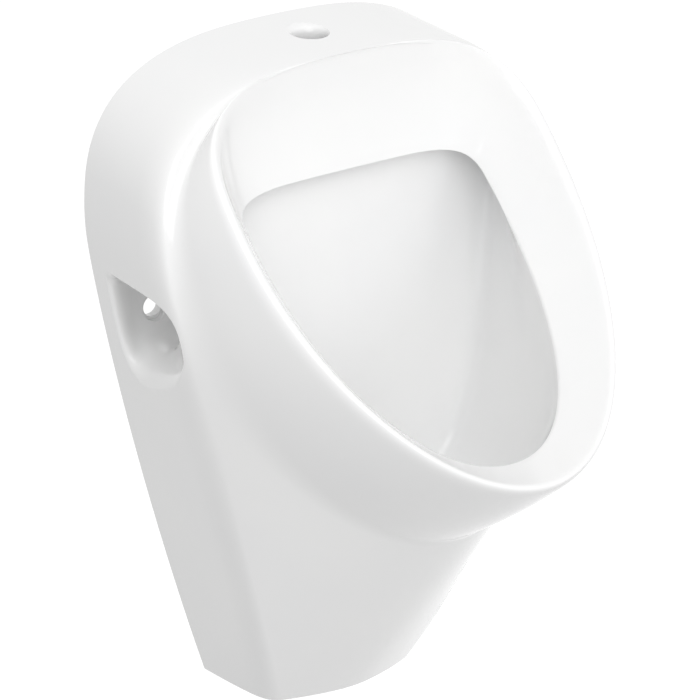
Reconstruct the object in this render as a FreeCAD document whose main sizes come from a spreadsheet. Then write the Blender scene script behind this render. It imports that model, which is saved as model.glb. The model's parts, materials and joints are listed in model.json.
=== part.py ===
# Wall hung urinal with a concealed tubular trap, built in millimetres.
# X runs across the bowl, the wall is the plane y = 0 and the body stands on its -Y side, Z is up.
# Heights in the sheet are measured from the underside of the skirt, while the model's origin lies on
# the wall, midway between the two fixing holes, so that every height is lowered by the fixing level.
import FreeCAD, Part
import Sketcher
import math
import os
import re

Vector = FreeCAD.Vector

doc = FreeCAD.newDocument("WallUrinal")
sheet = doc.addObject("Spreadsheet::Sheet", "Sizes")

# Alias, size, what it is.  Lengths in mm.  A "Power" is the exponent of a rounded outline:
# 2 is an ellipse, more is squarer, less is more pointed.
SIZES = [
    ("bodyHeight", 515, "underside of the skirt to the top at the wall"),
    ("wallHalfWidth", 173, "half width of the outline on the wall"),
    ("wideLevel", 390, "height of the widest part of the wall outline"),
    ("wallTaperLength", 573, "wide level down to where the tapering wall outline would close"),
    ("wallTopPower", 2.8, "squareness of the arched top on the wall"),
    ("wallTaperPower", 1.2, "straightness of the taper on the wall"),
    ("shellBulge", 8, "how much wider the shell is at its soft front corner than on the wall"),
    ("shellTopDrop", 8, "fall of the top from the wall to the shell corner"),
    ("shellWideLevel", 378, "height of the widest part of the shell corner"),
    ("shellTaperLength", 478, "wide level down to where the shell corner would close"),
    ("shellTopPower", 2.72, "squareness of the shell corner at the top"),
    ("shellTaperPower", 1.35, "straightness of the shell corner's taper"),
    ("shellTopDepth", 84, "depth of the shell corner at the top"),
    ("shellDepth", 105, "depth of the shell corner at its wide level"),
    ("shellFootDepth", 79, "depth of the shell corner at the underside"),
    ("shellTipDepth", 20, "depth of the shell corner where its taper would close"),
    ("bandWidth", 13, "front band between the shell corner and the crease, at the sides"),
    ("creaseBottom", 168, "height of the crease under the bowl"),
    ("creaseWideLevel", 371, "height of the widest part of the crease"),
    ("creaseTopPower", 2.45, "squareness of the crease at the top"),
    ("creaseBottomPower", 1.87, "roundness of the crease under the bowl"),
    ("creaseTopDepth", 90, "depth of the crease at the top"),
    ("creaseDepth", 118, "depth of the crease at its wide level"),
    ("creaseBottomDepth", 222, "depth of the crease under the bowl"),
    ("rimHalfWidth", 146.7, "half width of the rim before its edge is rounded"),
    ("rimTopDrop", 9, "fall of the top from the wall to the rim"),
    ("rimBottom", 247, "height of the lip before its edge is rounded"),
    ("rimWideLevel", 414, "height of the widest part of the rim"),
    ("rimTopPower", 3.43, "squareness of the rim at the top"),
    ("rimBottomPower", 1.96, "roundness of the lip"),
    ("rimTopDepth", 88.5, "depth of the rim at the top"),
    ("rimDepth", 166.8, "depth of the rim at its wide level"),
    ("rimBottomDepth", 331, "depth of the lip, the whole depth before its edge is rounded"),
    ("hoodHeight", 87, "height of the hood's face, rim to opening"),
    ("hoodEdge", 8, "thickness of the hood's lower edge"),
    ("openingHalfWidth", 107.8, "half width of the opening"),
    ("openingBottom", 251.5, "height of the bottom of the opening"),
    ("openingWideLevel", 393.5, "height of the widest part of the opening"),
    ("openingTopPower", 4.8, "squareness of the opening at the top"),
    ("openingBottomPower", 2.33, "roundness of the opening at the bottom"),
    ("openingTopDepth", 94, "depth of the hood's lower edge"),
    ("openingDepth", 116.5, "depth of the opening at its wide level"),
    ("openingBottomDepth", 286.5, "depth of the bottom of the opening"),
    ("undercut", 10, "how far the bowl widens behind the opening's edge"),
    ("undercutDepth", 16, "how far behind the opening's edge the bowl is that wide"),
    ("bowlHalfWidth", 145, "half width of the bowl's back wall"),
    ("bowlBackDepth", 79, "wall to the bowl's back wall"),
    ("ceilingRise", 22, "bowl's ceiling above the hood's lower edge"),
    ("bowlFloor", 150, "height of the bowl's floor at the back"),
    ("bowlWideLevel", 380, "height of the widest part of the back wall"),
    ("bowlTopPower", 3.4, "squareness of the back wall at the top"),
    ("bowlFloorPower", 4.2, "squareness of the back wall at the floor"),
    ("floorHalfWidth", 132, "half width of the bowl in front of its back wall"),
    ("floorFront", 164, "height of the floor at its front"),
    ("floorDepth", 192, "wall to the front of the floor"),
    ("floorPower", 3.2, "squareness of the floor's outline"),
    ("ceramicWall", 10, "thickness of the fired ceramic"),
    ("shellRound", 26, "length of the rounding each side of the shell corner"),
    ("creaseRound", 24, "length of the rounding each side of the crease, at the sides"),
    ("creaseCrisp", 6, "length of that rounding under the bowl"),
    ("rimRound", 18.5, "length of the rounding each side of the rim's edge"),
    ("flankSwell", 0.02, "swell of the bowl's flank as a share of its width"),
    ("faceHollow", 0.025, "hollow of the face round the opening as a share of its width"),
    ("openingRound", 5, "length of the rounding each side of the opening's edge"),
    ("bowlRound", 12, "length of the rounding between the bowl's back and side walls"),
    ("fixingLevel", 314, "height of the wall fixing holes"),
    ("fixingSpacing", 240, "distance between the wall fixing holes"),
    ("fixingHoleRadius", 8, "radius of the wall fixing holes"),
    ("fixingPadRadius", 14, "radius of the flat round each fixing hole"),
    ("fixingFlange", 7, "ceramic between a fixing recess and the wall"),
    ("recessRise", 5.5, "middle of a fixing recess above the fixing holes"),
    ("recessMouthReach", 10, "how far the recess's flared mouth is drawn beyond the shell's side"),
    ("recessMouthDepth", 95, "wall to the middle of the mouth, drawn that far out"),
    ("recessMouthHalfDepth", 59, "half of the mouth, wall to front"),
    ("recessMouthHalfHeight", 44, "half of the mouth's height"),
    ("recessThroatReach", 150, "middle of the body to the recess's throat"),
    ("recessThroatDepth", 43, "wall to the middle of the throat"),
    ("recessThroatHalfDepth", 27, "half of the throat, wall to front"),
    ("recessThroatHalfHeight", 30, "half of the throat's height"),
    ("recessEndMargin", 14, "fixing hole's axis to the recess's inner end"),
    ("recessEndDepth", 42, "wall to the middle of the inner end"),
    ("recessEndHalfDepth", 27, "half of the inner end, wall to front"),
    ("recessEndHalfHeight", 27, "half of the inner end's height"),
    ("recessPower", 2.7, "squareness of the recess"),
    ("recessRound", 12, "rounding of the recess's throat and inner end"),
    ("inletRadius", 13, "radius of the inlet hole in the top"),
    ("inletDepth", 44, "wall to the axis of the inlet hole"),
    ("chamberHalfWidth", 31, "half width of the flush chamber inside the hood"),
    ("chamberDrop", 15, "bottom of the flush chamber below the flush nozzle"),
    ("chamberBack", 25, "wall to the back of the flush chamber"),
    ("chamberRoof", 15, "ceramic over the flush chamber, measured at the wall"),
    ("sprayRise", 3.5, "flush nozzle above the hood's lower edge"),
    ("sprayRadius", 6.5, "radius of the flush nozzle's head"),
    ("sprayStemRadius", 4.7, "radius of the flush nozzle's stem"),
    ("sprayStemLength", 13, "length of the stem through the bowl's back wall"),
    ("sprayLength", 5, "length of the flush nozzle's head"),
    ("sprayWall", 1.5, "wall of the flush nozzle"),
    ("sprayHole", 1, "radius of the flush nozzle's holes"),
    ("sprayHoles", 8, "number of holes round the flush nozzle's head"),
    ("drainDepth", 118, "wall to the axis of the drain"),
    ("drainMargin", 1, "clearance round the waste outlet's neck in the ceramic"),
    ("seatDrop", 0.5, "flat seat round the drain below the back of the floor"),
    ("seatRadius", 37.5, "radius of the flat seat round the drain"),
    ("seatThickness", 12, "thickness of the ceramic at the drain"),
    ("seatHeadroom", 20, "how far the seat is cut upwards"),
    ("flangeRadius", 36, "radius of the waste outlet's flange"),
    ("flangeThickness", 3, "thickness of the waste outlet's flange"),
    ("sealThickness", 2, "thickness of the large rubber seals"),
    ("smallSeal", 1.5, "thickness of the small rubber seals"),
    ("neckRadius", 29, "outside radius of the waste outlet's threaded neck"),
    ("neckWall", 4, "wall of the waste outlet's neck"),
    ("neckLength", 28, "underside of the flange to the bottom of the neck"),
    ("neckSlope", 1.5, "fall of the neck's floor towards the tail"),
    ("clampRadius", 40, "outside radius of the clamping nut"),
    ("clampHeight", 9, "height of the clamping nut"),
    ("tubeRadius", 16, "outside radius of the trap's tubes"),
    ("tubeWall", 2.5, "wall of the trap's tubes"),
    ("tailLength", 20, "length of the tail under the neck"),
    ("tailGap", 1.3, "bottom of the neck to the tail nut"),
    ("lipThickness", 2, "thickness of the union nuts' lips"),
    ("nutWall", 5.2, "wall of the union nuts"),
    ("nutLength", 14, "length of the thread in the tail nut"),
    ("socketWall", 3.2, "wall of the socket that takes the tail"),
    ("socketDepth", 18, "depth of the socket that takes the tail"),
    ("socketStep", 2, "thickness of the step under the tail"),
    ("inletLeg", 22, "top of the socket to the centre of the lower bend"),
    ("bendRadius", 28, "radius of the trap's bends, to the middle of the tube"),
    ("unionRise", 6, "centre of the lower bend to the top of its other leg"),
    ("collarRadius", 21, "radius of the collars on the trap's tubes"),
    ("collarHeight", 4, "height of the collars on the trap's tubes"),
    ("plugRadius", 7, "radius of the cleaning hole under the trap"),
    ("plugHeadRadius", 11, "radius of the cleaning plug's head"),
    ("plugHeadHeight", 5, "height of the cleaning plug's head"),
    ("slotWidth", 2.4, "width of the coin slot in the cleaning plug"),
    ("bossRadius", 10, "radius of the boss that the cleaning plug screws into"),
    ("bossHeight", 6, "height of that boss below the tube"),
    ("strainerRadius", 30, "radius of the strainer"),
    ("strainerThickness", 2, "thickness of the strainer's plate"),
    ("strainerDome", 4, "rise of the strainer's plate to its middle"),
    ("strainerLedge", 2.2, "depth of the ledge that the strainer lies on"),
    ("strainerHole", 2.2, "radius of the strainer's holes"),
    ("innerRing", 10, "radius of the strainer's inner ring of holes"),
    ("innerHoles", 8, "number of holes in the inner ring"),
    ("outerRing", 18, "radius of the strainer's outer ring of holes"),
    ("outerHoles", 14, "number of holes in the outer ring"),
    ("skirtLength", 9, "length of the strainer's locating skirt"),
    ("skirtWall", 1.5, "wall of the strainer's locating skirt"),
    ("knobRadius", 4.5, "radius of the strainer's lifting knob"),
    ("knobHeight", 6, "height of the strainer's lifting knob"),
    ("gripRadius", 2.4, "radius of the finger grips cut into the nuts"),
    ("gripCount", 12, "number of finger grips on a nut"),
    ("fitGap", 0.3, "clearance between pieces that fit into each other"),
]

for row, (alias, value, note) in enumerate(SIZES, start=1):
    sheet.set("A%d" % row, alias)
    sheet.set("B%d" % row, str(value))
    sheet.set("C%d" % row, note)
    sheet.setAlias("B%d" % row, alias)
doc.recompute()


class Reader:
    """Reads a size from the sheet by its alias, as a plain number."""

    def __getattr__(self, alias):
        return float(sheet.get(alias))


size = Reader()
RING_STEPS = 40
TINY = 1e-9


# --- The ceramic's outlines and skins ---

def signed_power(value, power):
    return math.copysign(abs(value) ** power, value)


class Ring:
    """A rounded outline round the bowl, symmetric about x = 0.

    Above its wide level it is half a superellipse, below it another one.  Its depth from the wall
    is a smooth curve in height through the depths at its top, its wide level, its bottom and, where
    there is a fourth, the underside of the skirt.
    """

    def __init__(self, half, top, wide, bottom, top_power, bottom_power, depths):
        self.half = half
        self.top = top
        self.wide = wide
        self.bottom = bottom
        self.top_power = top_power
        self.bottom_power = bottom_power
        self.depths = depths

    def depth(self, z):
        heights = [self.top, self.wide, self.bottom, 0.0][:len(self.depths)]
        total = 0.0
        for own, depth in zip(heights, self.depths):
            share = depth
            for other in heights:
                if other != own:
                    share *= (z - other) / (own - other)
            total += share
        return total

    def point(self, angle):
        across = math.sin(angle)
        along = math.cos(angle)
        upper = along >= 0
        power = 2.0 / (self.top_power if upper else self.bottom_power)
        reach = self.top - self.wide if upper else self.wide - self.bottom
        x = self.half * signed_power(across, power)
        z = self.wide + reach * signed_power(along, power)
        return Vector(x, -self.depth(z), z - size.fixingLevel)

    def points(self):
        return [self.point(2 * math.pi * step / RING_STEPS) for step in range(RING_STEPS)]

    def grown(self, wall, out=0.0):
        """The same outline, larger by a wall all round and moved out from the wall plane."""
        return Ring(self.half + wall, self.top + wall, self.wide, self.bottom - wall,
                    self.top_power, self.bottom_power, [depth + out for depth in self.depths])


class SideRing:
    """A superellipse in a plane across X, for the recesses in the sides.

    Its middle is a depth from the wall and a height above the fixing holes.
    """

    def __init__(self, x, middle, half_depth, half_height, power):
        self.x = x
        self.middle = middle
        self.half_depth = half_depth
        self.half_height = half_height
        self.power = power

    def points(self):
        row = []
        for step in range(RING_STEPS):
            angle = 2 * math.pi * step / RING_STEPS
            y = self.half_depth * signed_power(math.sin(angle), 2 / self.power) - self.middle[0]
            z = self.middle[1] + self.half_height * signed_power(math.cos(angle), 2 / self.power)
            row.append(Vector(self.x, y, z))
        return row

    def grown(self, wall, out=0.0):
        return SideRing(self.x + out, self.middle, self.half_depth + wall,
                        self.half_height + wall, self.power)


def strip(rows, degree):
    """A face through rows of control points that close on themselves."""
    surface = Part.BSplineSurface()
    surface.buildFromPolesMultsKnots(
        rows, [degree + 1, degree + 1], [1] * (RING_STEPS + 1),
        [0.0, 1.0], [float(knot) for knot in range(RING_STEPS + 1)],
        False, True, degree, 3)
    return surface.toShape()


def flat_cap(row):
    curve = Part.BSplineCurve()
    curve.buildFromPolesMultsKnots(row, [1] * (RING_STEPS + 1),
                                   [float(knot) for knot in range(RING_STEPS + 1)], True, 3)
    return Part.Face(Part.Wire(curve.toShape()))


def rounded_corner(before, corner, after, lengths):
    """The control rows of a rounded corner: where it starts, the sharp corner, where it ends."""
    rows = [[], list(corner), []]
    for a, b, c, length in zip(before, corner, after, lengths):
        back, on = a - b, c - b
        rows[0].append(b + back * (min(length, 0.45 * back.Length) / max(back.Length, TINY)))
        rows[2].append(b + on * (min(length, 0.45 * on.Length) / max(on.Length, TINY)))
    return rows


def bowed(first, last, direction, share):
    """The middle control row of a part that bows, by a share of its width, in a direction."""
    row = []
    for a, b in zip(first, last):
        middle = (a + b) * 0.5
        row.append(middle + direction(middle) * (2 * share * (b - a).Length))
    return row


def skin_solid(rings, rounds, bows=None):
    """A solid whose skin runs from ring to ring, rounded at each ring between two flat ends.

    The part that leads up to a ring is straight, unless bows has a direction and a share for it.
    """
    outlines = [ring.points() for ring in rings]
    middles = [None] * len(rings)
    for index, (direction, share) in (bows or {}).items():
        middles[index] = bowed(outlines[index - 1], outlines[index], direction, share)
    faces = [flat_cap(outlines[0])]
    start = outlines[0]
    for index in range(1, len(outlines) - 1):
        lengths = rounds[index - 1]
        if not isinstance(lengths, list):
            lengths = [lengths] * RING_STEPS
        rows = rounded_corner(middles[index] or outlines[index - 1], outlines[index],
                              middles[index + 1] or outlines[index + 1], lengths)
        if middles[index]:
            faces.append(strip([start, middles[index], rows[0]], 2))
        else:
            faces.append(strip([start, rows[0]], 1))
        faces.append(strip(rows, 2))
        start = rows[2]
    faces.append(strip([start, outlines[-1]], 1))
    faces.append(flat_cap(outlines[-1]))
    solid = Part.makeSolid(Part.makeShell(faces))
    solid.fix(1e-4, 1e-4, 1e-3)
    return solid


def add_shape(name, shape):
    feature = doc.addObject("Part::Feature", name)
    feature.Shape = shape
    return feature


def wall_depths(depth):
    return [depth, depth, depth]


# The outlines, from the wall forwards over the rim and down into the bowl.
wall = size.ceramicWall
rim_top = size.bodyHeight - size.rimTopDrop
wall_ring = Ring(size.wallHalfWidth, size.bodyHeight, size.wideLevel,
                 size.wideLevel - size.wallTaperLength,
                 size.wallTopPower, size.wallTaperPower, wall_depths(0))
shell_ring = Ring(size.wallHalfWidth + size.shellBulge, size.bodyHeight - size.shellTopDrop,
                  size.shellWideLevel, size.shellWideLevel - size.shellTaperLength,
                  size.shellTopPower, size.shellTaperPower,
                  [size.shellTopDepth, size.shellDepth, size.shellTipDepth, size.shellFootDepth])
crease_ring = Ring(shell_ring.half - size.bandWidth, (shell_ring.top + rim_top) / 2,
                   size.creaseWideLevel, size.creaseBottom,
                   size.creaseTopPower, size.creaseBottomPower,
                   [size.creaseTopDepth, size.creaseDepth, size.creaseBottomDepth])
rim_ring = Ring(size.rimHalfWidth, rim_top, size.rimWideLevel, size.rimBottom,
                size.rimTopPower, size.rimBottomPower,
                [size.rimTopDepth, size.rimDepth, size.rimBottomDepth])
opening_ring = Ring(size.openingHalfWidth, rim_top - size.hoodHeight, size.openingWideLevel,
                    size.openingBottom, size.openingTopPower, size.openingBottomPower,
                    [size.openingTopDepth, size.openingDepth, size.openingBottomDepth])
undercut_ring = opening_ring.grown(size.undercut, -size.undercutDepth)
undercut_ring.depths[0] = opening_ring.depths[0] - size.hoodEdge
bowl_top = opening_ring.top + size.ceilingRise
floor_ring = Ring(size.floorHalfWidth, bowl_top - 2, size.bowlWideLevel, size.floorFront,
                  size.bowlTopPower, size.floorPower,
                  [size.bowlBackDepth + 3, size.bowlBackDepth + 20, size.floorDepth])
back_ring = Ring(size.bowlHalfWidth, bowl_top, size.bowlWideLevel, size.bowlFloor,
                 size.bowlTopPower, size.bowlFloorPower, wall_depths(size.bowlBackDepth))

skin_rings = [wall_ring, shell_ring, crease_ring, rim_ring, opening_ring, undercut_ring,
              floor_ring, back_ring]


def crease_lengths():
    """The crease's rounding at each of its points: crisp under the bowl, soft at the sides."""
    rise = crease_ring.wide - crease_ring.bottom
    lengths = []
    for point in crease_ring.points():
        share = min(1.0, (point.z + size.fixingLevel - crease_ring.bottom) / rise)
        lengths.append(size.creaseCrisp + (size.creaseRound - size.creaseCrisp) * share)
    return lengths


def away_from_bowl(point):
    out = Vector(point.x, 0, point.z + size.fixingLevel - rim_ring.wide)
    return out * (1 / max(out.Length, TINY))


def to_wall(point):
    return Vector(0, 1, 0)


skin_rounds = [size.shellRound, crease_lengths(), size.rimRound, size.openingRound,
               size.undercut, size.bowlRound]
skin_bows = {3: (away_from_bowl, size.flankSwell), 4: (to_wall, size.faceHollow)}
outer_skin = add_shape("OuterSkin", skin_solid(skin_rings, skin_rounds, skin_bows))

# The inner skin is one wall inside the outer one and closes behind the bowl.
closing_ring = Ring(size.chamberHalfWidth, rim_ring.wide, (rim_ring.wide + size.bowlFloor) / 2,
                    size.bowlFloor, 2, 2, wall_depths(rim_ring.depths[1]))
inner_rings = [wall_ring.grown(-wall, -wall), shell_ring.grown(-wall, -wall),
               crease_ring.grown(-wall, -wall), closing_ring]
inner_skin = add_shape("InnerSkin", skin_solid(inner_rings, [size.shellRound, size.creaseCrisp]))


# --- Primitives and booleans, bound to the sheet ---

def formula(text):
    """A formula of the sheet's aliases, written as an expression."""
    return re.sub(r"[A-Za-z]+", lambda word: "Sizes." + word.group(0), text)


def number(text):
    return float(sheet.evalExpression(formula(text)))


def bind(feature, **formulas):
    for name, text in formulas.items():
        feature.setExpression(name, formula(text))


def place(feature, x, y, z, rotation=None):
    """Puts a feature at x, y and a height above the underside of the skirt."""
    if rotation is not None:
        feature.Placement = FreeCAD.Placement(Vector(), rotation)
    for axis, text in zip("xyz", (x, y, z + " - fixingLevel")):
        feature.setExpression("Placement.Base." + axis, formula(text))


TO_WALL = FreeCAD.Rotation(Vector(1, 0, 0), -90)
FROM_WALL = FreeCAD.Rotation(Vector(1, 0, 0), 90)


def box(name, x, y, z, length, width, height):
    feature = doc.addObject("Part::Box", name)
    bind(feature, Length=length, Width=width, Height=height)
    place(feature, x, y, z)
    return feature


def cylinder(name, x, y, z, radius, height, rotation=None):
    feature = doc.addObject("Part::Cylinder", name)
    bind(feature, Radius=radius, Height=height)
    place(feature, x, y, z, rotation)
    return feature


def boolean(kind, name, **shapes):
    feature = doc.addObject("Part::" + kind, name)
    feature.Refine = False
    for link, shape in shapes.items():
        setattr(feature, link, shape)
    return feature


# --- The ceramic body ---

OPENING_TOP = "bodyHeight - rimTopDrop - hoodHeight"
SPRAY_LEVEL = OPENING_TOP + " + sprayRise"
CHAMBER_BOTTOM = SPRAY_LEVEL + " - chamberDrop"
CHAMBER_HEIGHT = "bodyHeight - chamberRoof - (" + CHAMBER_BOTTOM + ")"
SEAT_LEVEL = "bowlFloor - seatDrop"

# The hollow is the inner skin's space behind the bowl's back wall and under its floor.  It is open
# at the wall and at the underside.
behind_bowl = box("BehindBowl", "-2 * wallHalfWidth", "ceramicWall - bowlBackDepth",
                  "-2 * ceramicWall", "4 * wallHalfWidth", "bowlBackDepth + ceramicWall",
                  "bodyHeight + 2 * ceramicWall")
below_bowl = box("BelowBowl", "-2 * wallHalfWidth", "-rimBottomDepth", "-2 * ceramicWall",
                 "4 * wallHalfWidth", "rimBottomDepth", "bowlFloor + ceramicWall")
round_bowl = boolean("MultiFuse", "RoundBowl", Shapes=[behind_bowl, below_bowl])
inner_space = boolean("Common", "InnerSpace", Base=inner_skin, Tool=round_bowl)

# What stands in the hollow: the walls round the flush chamber, the drain's seat and, on each side,
# the liner of the fixing recess with the flange in front of the wall.
chamber_block = box("ChamberBlock", "-chamberHalfWidth - ceramicWall", "-bowlBackDepth",
                    CHAMBER_BOTTOM + " - ceramicWall", "2 * (chamberHalfWidth + ceramicWall)",
                    "bowlBackDepth - chamberBack + ceramicWall", CHAMBER_HEIGHT + " + 2 * ceramicWall")
drain_boss = cylinder("DrainBoss", "0", "-drainDepth", SEAT_LEVEL + " - seatThickness",
                      "clampRadius", "seatThickness")
standing = [chamber_block, drain_boss]

# What is cut out of the ceramic.
chamber = box("Chamber", "-chamberHalfWidth", "ceramicWall - bowlBackDepth", CHAMBER_BOTTOM,
              "2 * chamberHalfWidth", "bowlBackDepth - ceramicWall - chamberBack", CHAMBER_HEIGHT)
inlet_hole = cylinder("InletHole", "0", "-inletDepth", "bodyHeight - chamberRoof - ceramicWall",
                      "inletRadius", "chamberRoof + 2 * ceramicWall")
spray_hole = cylinder("SprayHole", "0", "-bowlBackDepth - ceramicWall / 2", SPRAY_LEVEL,
                      "sprayStemRadius + fitGap", "2 * ceramicWall", TO_WALL)
drain_hole = cylinder("DrainHole", "0", "-drainDepth", SEAT_LEVEL + " - 2 * seatThickness",
                      "neckRadius + drainMargin", "3 * seatThickness")
drain_seat = cylinder("DrainSeat", "0", "-drainDepth", SEAT_LEVEL, "seatRadius", "seatHeadroom")
below_skirt = box("BelowSkirt", "-2 * wallHalfWidth", "-rimBottomDepth", "-wallTaperLength",
                  "4 * wallHalfWidth", "rimBottomDepth + 2 * ceramicWall", "wallTaperLength")
openings = [chamber, inlet_hole, spray_hole, drain_hole, drain_seat, below_skirt]

end_reach = size.fixingSpacing / 2 - size.recessEndMargin
for side, sign in (("Left", -1), ("Right", 1)):
    mouth = SideRing(sign * (shell_ring.half + size.recessMouthReach),
                     (size.recessMouthDepth, size.recessRise),
                     size.recessMouthHalfDepth, size.recessMouthHalfHeight, size.recessPower)
    throat = SideRing(sign * size.recessThroatReach, (size.recessThroatDepth, size.recessRise),
                      size.recessThroatHalfDepth, size.recessThroatHalfHeight, size.recessPower)
    end = SideRing(sign * end_reach, (size.recessEndDepth, size.recessRise),
                   size.recessEndHalfDepth, size.recessEndHalfHeight, size.recessPower)
    recess_rings = [mouth, throat, end, end.grown(-size.recessRound)]
    liner_rings = [mouth.grown(wall), throat.grown(wall), end.grown(wall, -sign * wall),
                   end.grown(-size.recessRound, -sign * wall)]
    recess_rounds = [size.recessRound, size.recessRound]
    recess = add_shape("Recess" + side, skin_solid(recess_rings, recess_rounds))
    liner = add_shape("RecessLiner" + side, skin_solid(liner_rings, recess_rounds))
    hole_side = "fixingSpacing / 2" if sign > 0 else "-fixingSpacing / 2"
    flange = cylinder("Flange" + side, hole_side, "-recessEndDepth", "fixingLevel",
                      "fixingPadRadius + ceramicWall", "recessEndDepth + 2 * ceramicWall", TO_WALL)
    pad = cylinder("Pad" + side, hole_side, "-recessEndDepth", "fixingLevel",
                   "fixingPadRadius", "recessEndDepth - fixingFlange", TO_WALL)
    hole = cylinder("FixingHole" + side, hole_side, "-recessEndDepth", "fixingLevel",
                    "fixingHoleRadius", "recessEndDepth + ceramicWall", TO_WALL)
    standing += [liner, flange]
    openings += [recess, pad, hole]

all_standing = boolean("MultiFuse", "Standing", Shapes=standing)
all_openings = boolean("MultiFuse", "Openings", Shapes=openings)
hollow = boolean("Cut", "Hollow", Base=inner_space, Tool=all_standing)
shell = boolean("Cut", "Shell", Base=outer_skin, Tool=hollow)
ceramic = boolean("Cut", "CeramicBody", Base=shell, Tool=all_openings)


# --- Turned and drawn pieces, each a body of its own ---

def plane(body, role):
    return next(feature for feature in body.Origin.OriginFeatures if feature.Role == role)


def new_body(label, x, y, z, rotation=None):
    body = doc.addObject("PartDesign::Body", "Body_" + label)
    body.Label = label
    place(body, x, y, z, rotation)
    return body


def new_sketch(body, role, lift="0"):
    sketch = body.newObject("Sketcher::SketchObject", "Sketch")
    sketch.AttachmentSupport = [(plane(body, role), "")]
    sketch.MapMode = "FlatFace"
    sketch.setExpression("AttachmentOffset.Base.z", formula(lift))
    return sketch


def fix_point(sketch, index, place_in_curve, across, up):
    """Holds a point of a curve at a formula's distance across and up from the sketch's origin."""
    for kind, axis, text in (("DistanceX", -2, across), ("DistanceY", -1, up)):
        value = number(text)
        if abs(value) < TINY:
            sketch.addConstraint(Sketcher.Constraint("PointOnObject", index, place_in_curve, axis))
            continue
        origin, point = (-1, 1), (index, place_in_curve)
        first, second = (origin, point) if value > 0 else (point, origin)
        if value < 0:
            text = "-(" + text + ")"
        number_of_it = sketch.addConstraint(Sketcher.Constraint(kind, *first, *second, abs(value)))
        sketch.setExpression("Constraints[%d]" % number_of_it, formula(text))


def draw_outline(sketch, corners):
    points = [Vector(number(across), number(up), 0) for across, up in corners]
    count = len(points)
    for index, point in enumerate(points):
        sketch.addGeometry(Part.LineSegment(point, points[(index + 1) % count]), False)
    for index in range(count):
        sketch.addConstraint(Sketcher.Constraint("Coincident", index, 2, (index + 1) % count, 1))
    for index, (across, up) in enumerate(corners):
        fix_point(sketch, index, 1, across, up)


def draw_circle(sketch, across, up, radius):
    centre = Vector(number(across), number(up), 0)
    index = sketch.addGeometry(Part.Circle(centre, Vector(0, 0, 1), number(radius)), False)
    fix_point(sketch, index, 3, across, up)
    held = sketch.addConstraint(Sketcher.Constraint("Radius", index, number(radius)))
    sketch.setExpression("Constraints[%d]" % held, formula(radius))


def turned(label, x, y, z, corners, rotation=None):
    """A body turned about its own Z axis from the corners (radius, height) of its section."""
    body = new_body(label, x, y, z, rotation)
    sketch = new_sketch(body, "XZ_Plane")
    draw_outline(sketch, corners)
    turn = body.newObject("PartDesign::Revolution", "Turn")
    turn.Profile = sketch
    turn.ReferenceAxis = (sketch, ["V_Axis"])
    turn.Angle = 360
    sketch.Visibility = False
    return body


def ring_section(inner, outer, low, high):
    return [(inner, low), (outer, low), (outer, high), (inner, high)]


def extruded(body, kind, sketch, length, reverse=False):
    feature = body.newObject("PartDesign::" + kind, kind)
    feature.Profile = sketch
    feature.Reversed = reverse
    bind(feature, Length=length)
    sketch.Visibility = False
    return feature


def bent(body, kind, across, radius, angle, reverse=False):
    """A round bar, or a round bore, bent about the body's X axis."""
    sketch = new_sketch(body, "XY_Plane")
    draw_circle(sketch, "0", across, radius)
    feature = body.newObject("PartDesign::" + kind, kind)
    feature.Profile = sketch
    feature.ReferenceAxis = (sketch, ["H_Axis"])
    feature.Angle = angle
    feature.Reversed = reverse
    sketch.Visibility = False
    return feature


def straight(body, kind, up, radius, low, length, role="XY_Plane", reverse=None):
    """A round bar, or a round bore, from a level upwards."""
    sketch = new_sketch(body, role, low)
    draw_circle(sketch, "0", up, radius)
    if reverse is None:
        reverse = kind == "Pocket"
    return extruded(body, kind, sketch, length, reverse)


def repeated(body, feature, sketch, count):
    pattern = body.newObject("PartDesign::PolarPattern", "Pattern")
    pattern.Originals = [feature]
    pattern.Axis = (sketch, ["N_Axis"])
    pattern.Angle = 360
    bind(pattern, Occurrences=count)
    body.Tip = pattern
    return pattern


def cut_round(body, radius_out, radius, low, length, count):
    """Round bores parallel to Z, spaced evenly about the axis."""
    sketch = new_sketch(body, "XY_Plane", low)
    draw_circle(sketch, radius_out, "0", radius)
    repeated(body, extruded(body, "Pocket", sketch, length, True), sketch, count)


# The waste outlet hangs in the drain hole by its flange, and every height below is counted from
# the seat under that flange.
DRAIN = ("0", "-drainDepth", SEAT_LEVEL)
NECK_BOTTOM = "sealThickness - neckLength"
FLANGE_TOP = "sealThickness + flangeThickness"
LEDGE = FLANGE_TOP + " - strainerLedge"
waste_outlet = turned("waste_outlet", *DRAIN, [
    ("tubeRadius - tubeWall", NECK_BOTTOM + " - tailLength"),
    ("tubeRadius", NECK_BOTTOM + " - tailLength"),
    ("tubeRadius", NECK_BOTTOM),
    ("neckRadius", NECK_BOTTOM),
    ("neckRadius", "sealThickness"),
    ("flangeRadius", "sealThickness"),
    ("flangeRadius", FLANGE_TOP),
    ("strainerRadius + fitGap", FLANGE_TOP),
    ("strainerRadius + fitGap", LEDGE),
    ("neckRadius - neckWall", LEDGE),
    ("neckRadius - neckWall", NECK_BOTTOM + " + tubeWall + neckSlope"),
    ("tubeRadius - tubeWall", NECK_BOTTOM + " + tubeWall")])
flange_seal = turned("flange_seal", *DRAIN, ring_section(
    "neckRadius + fitGap", "flangeRadius", "0", "sealThickness"))

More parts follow.
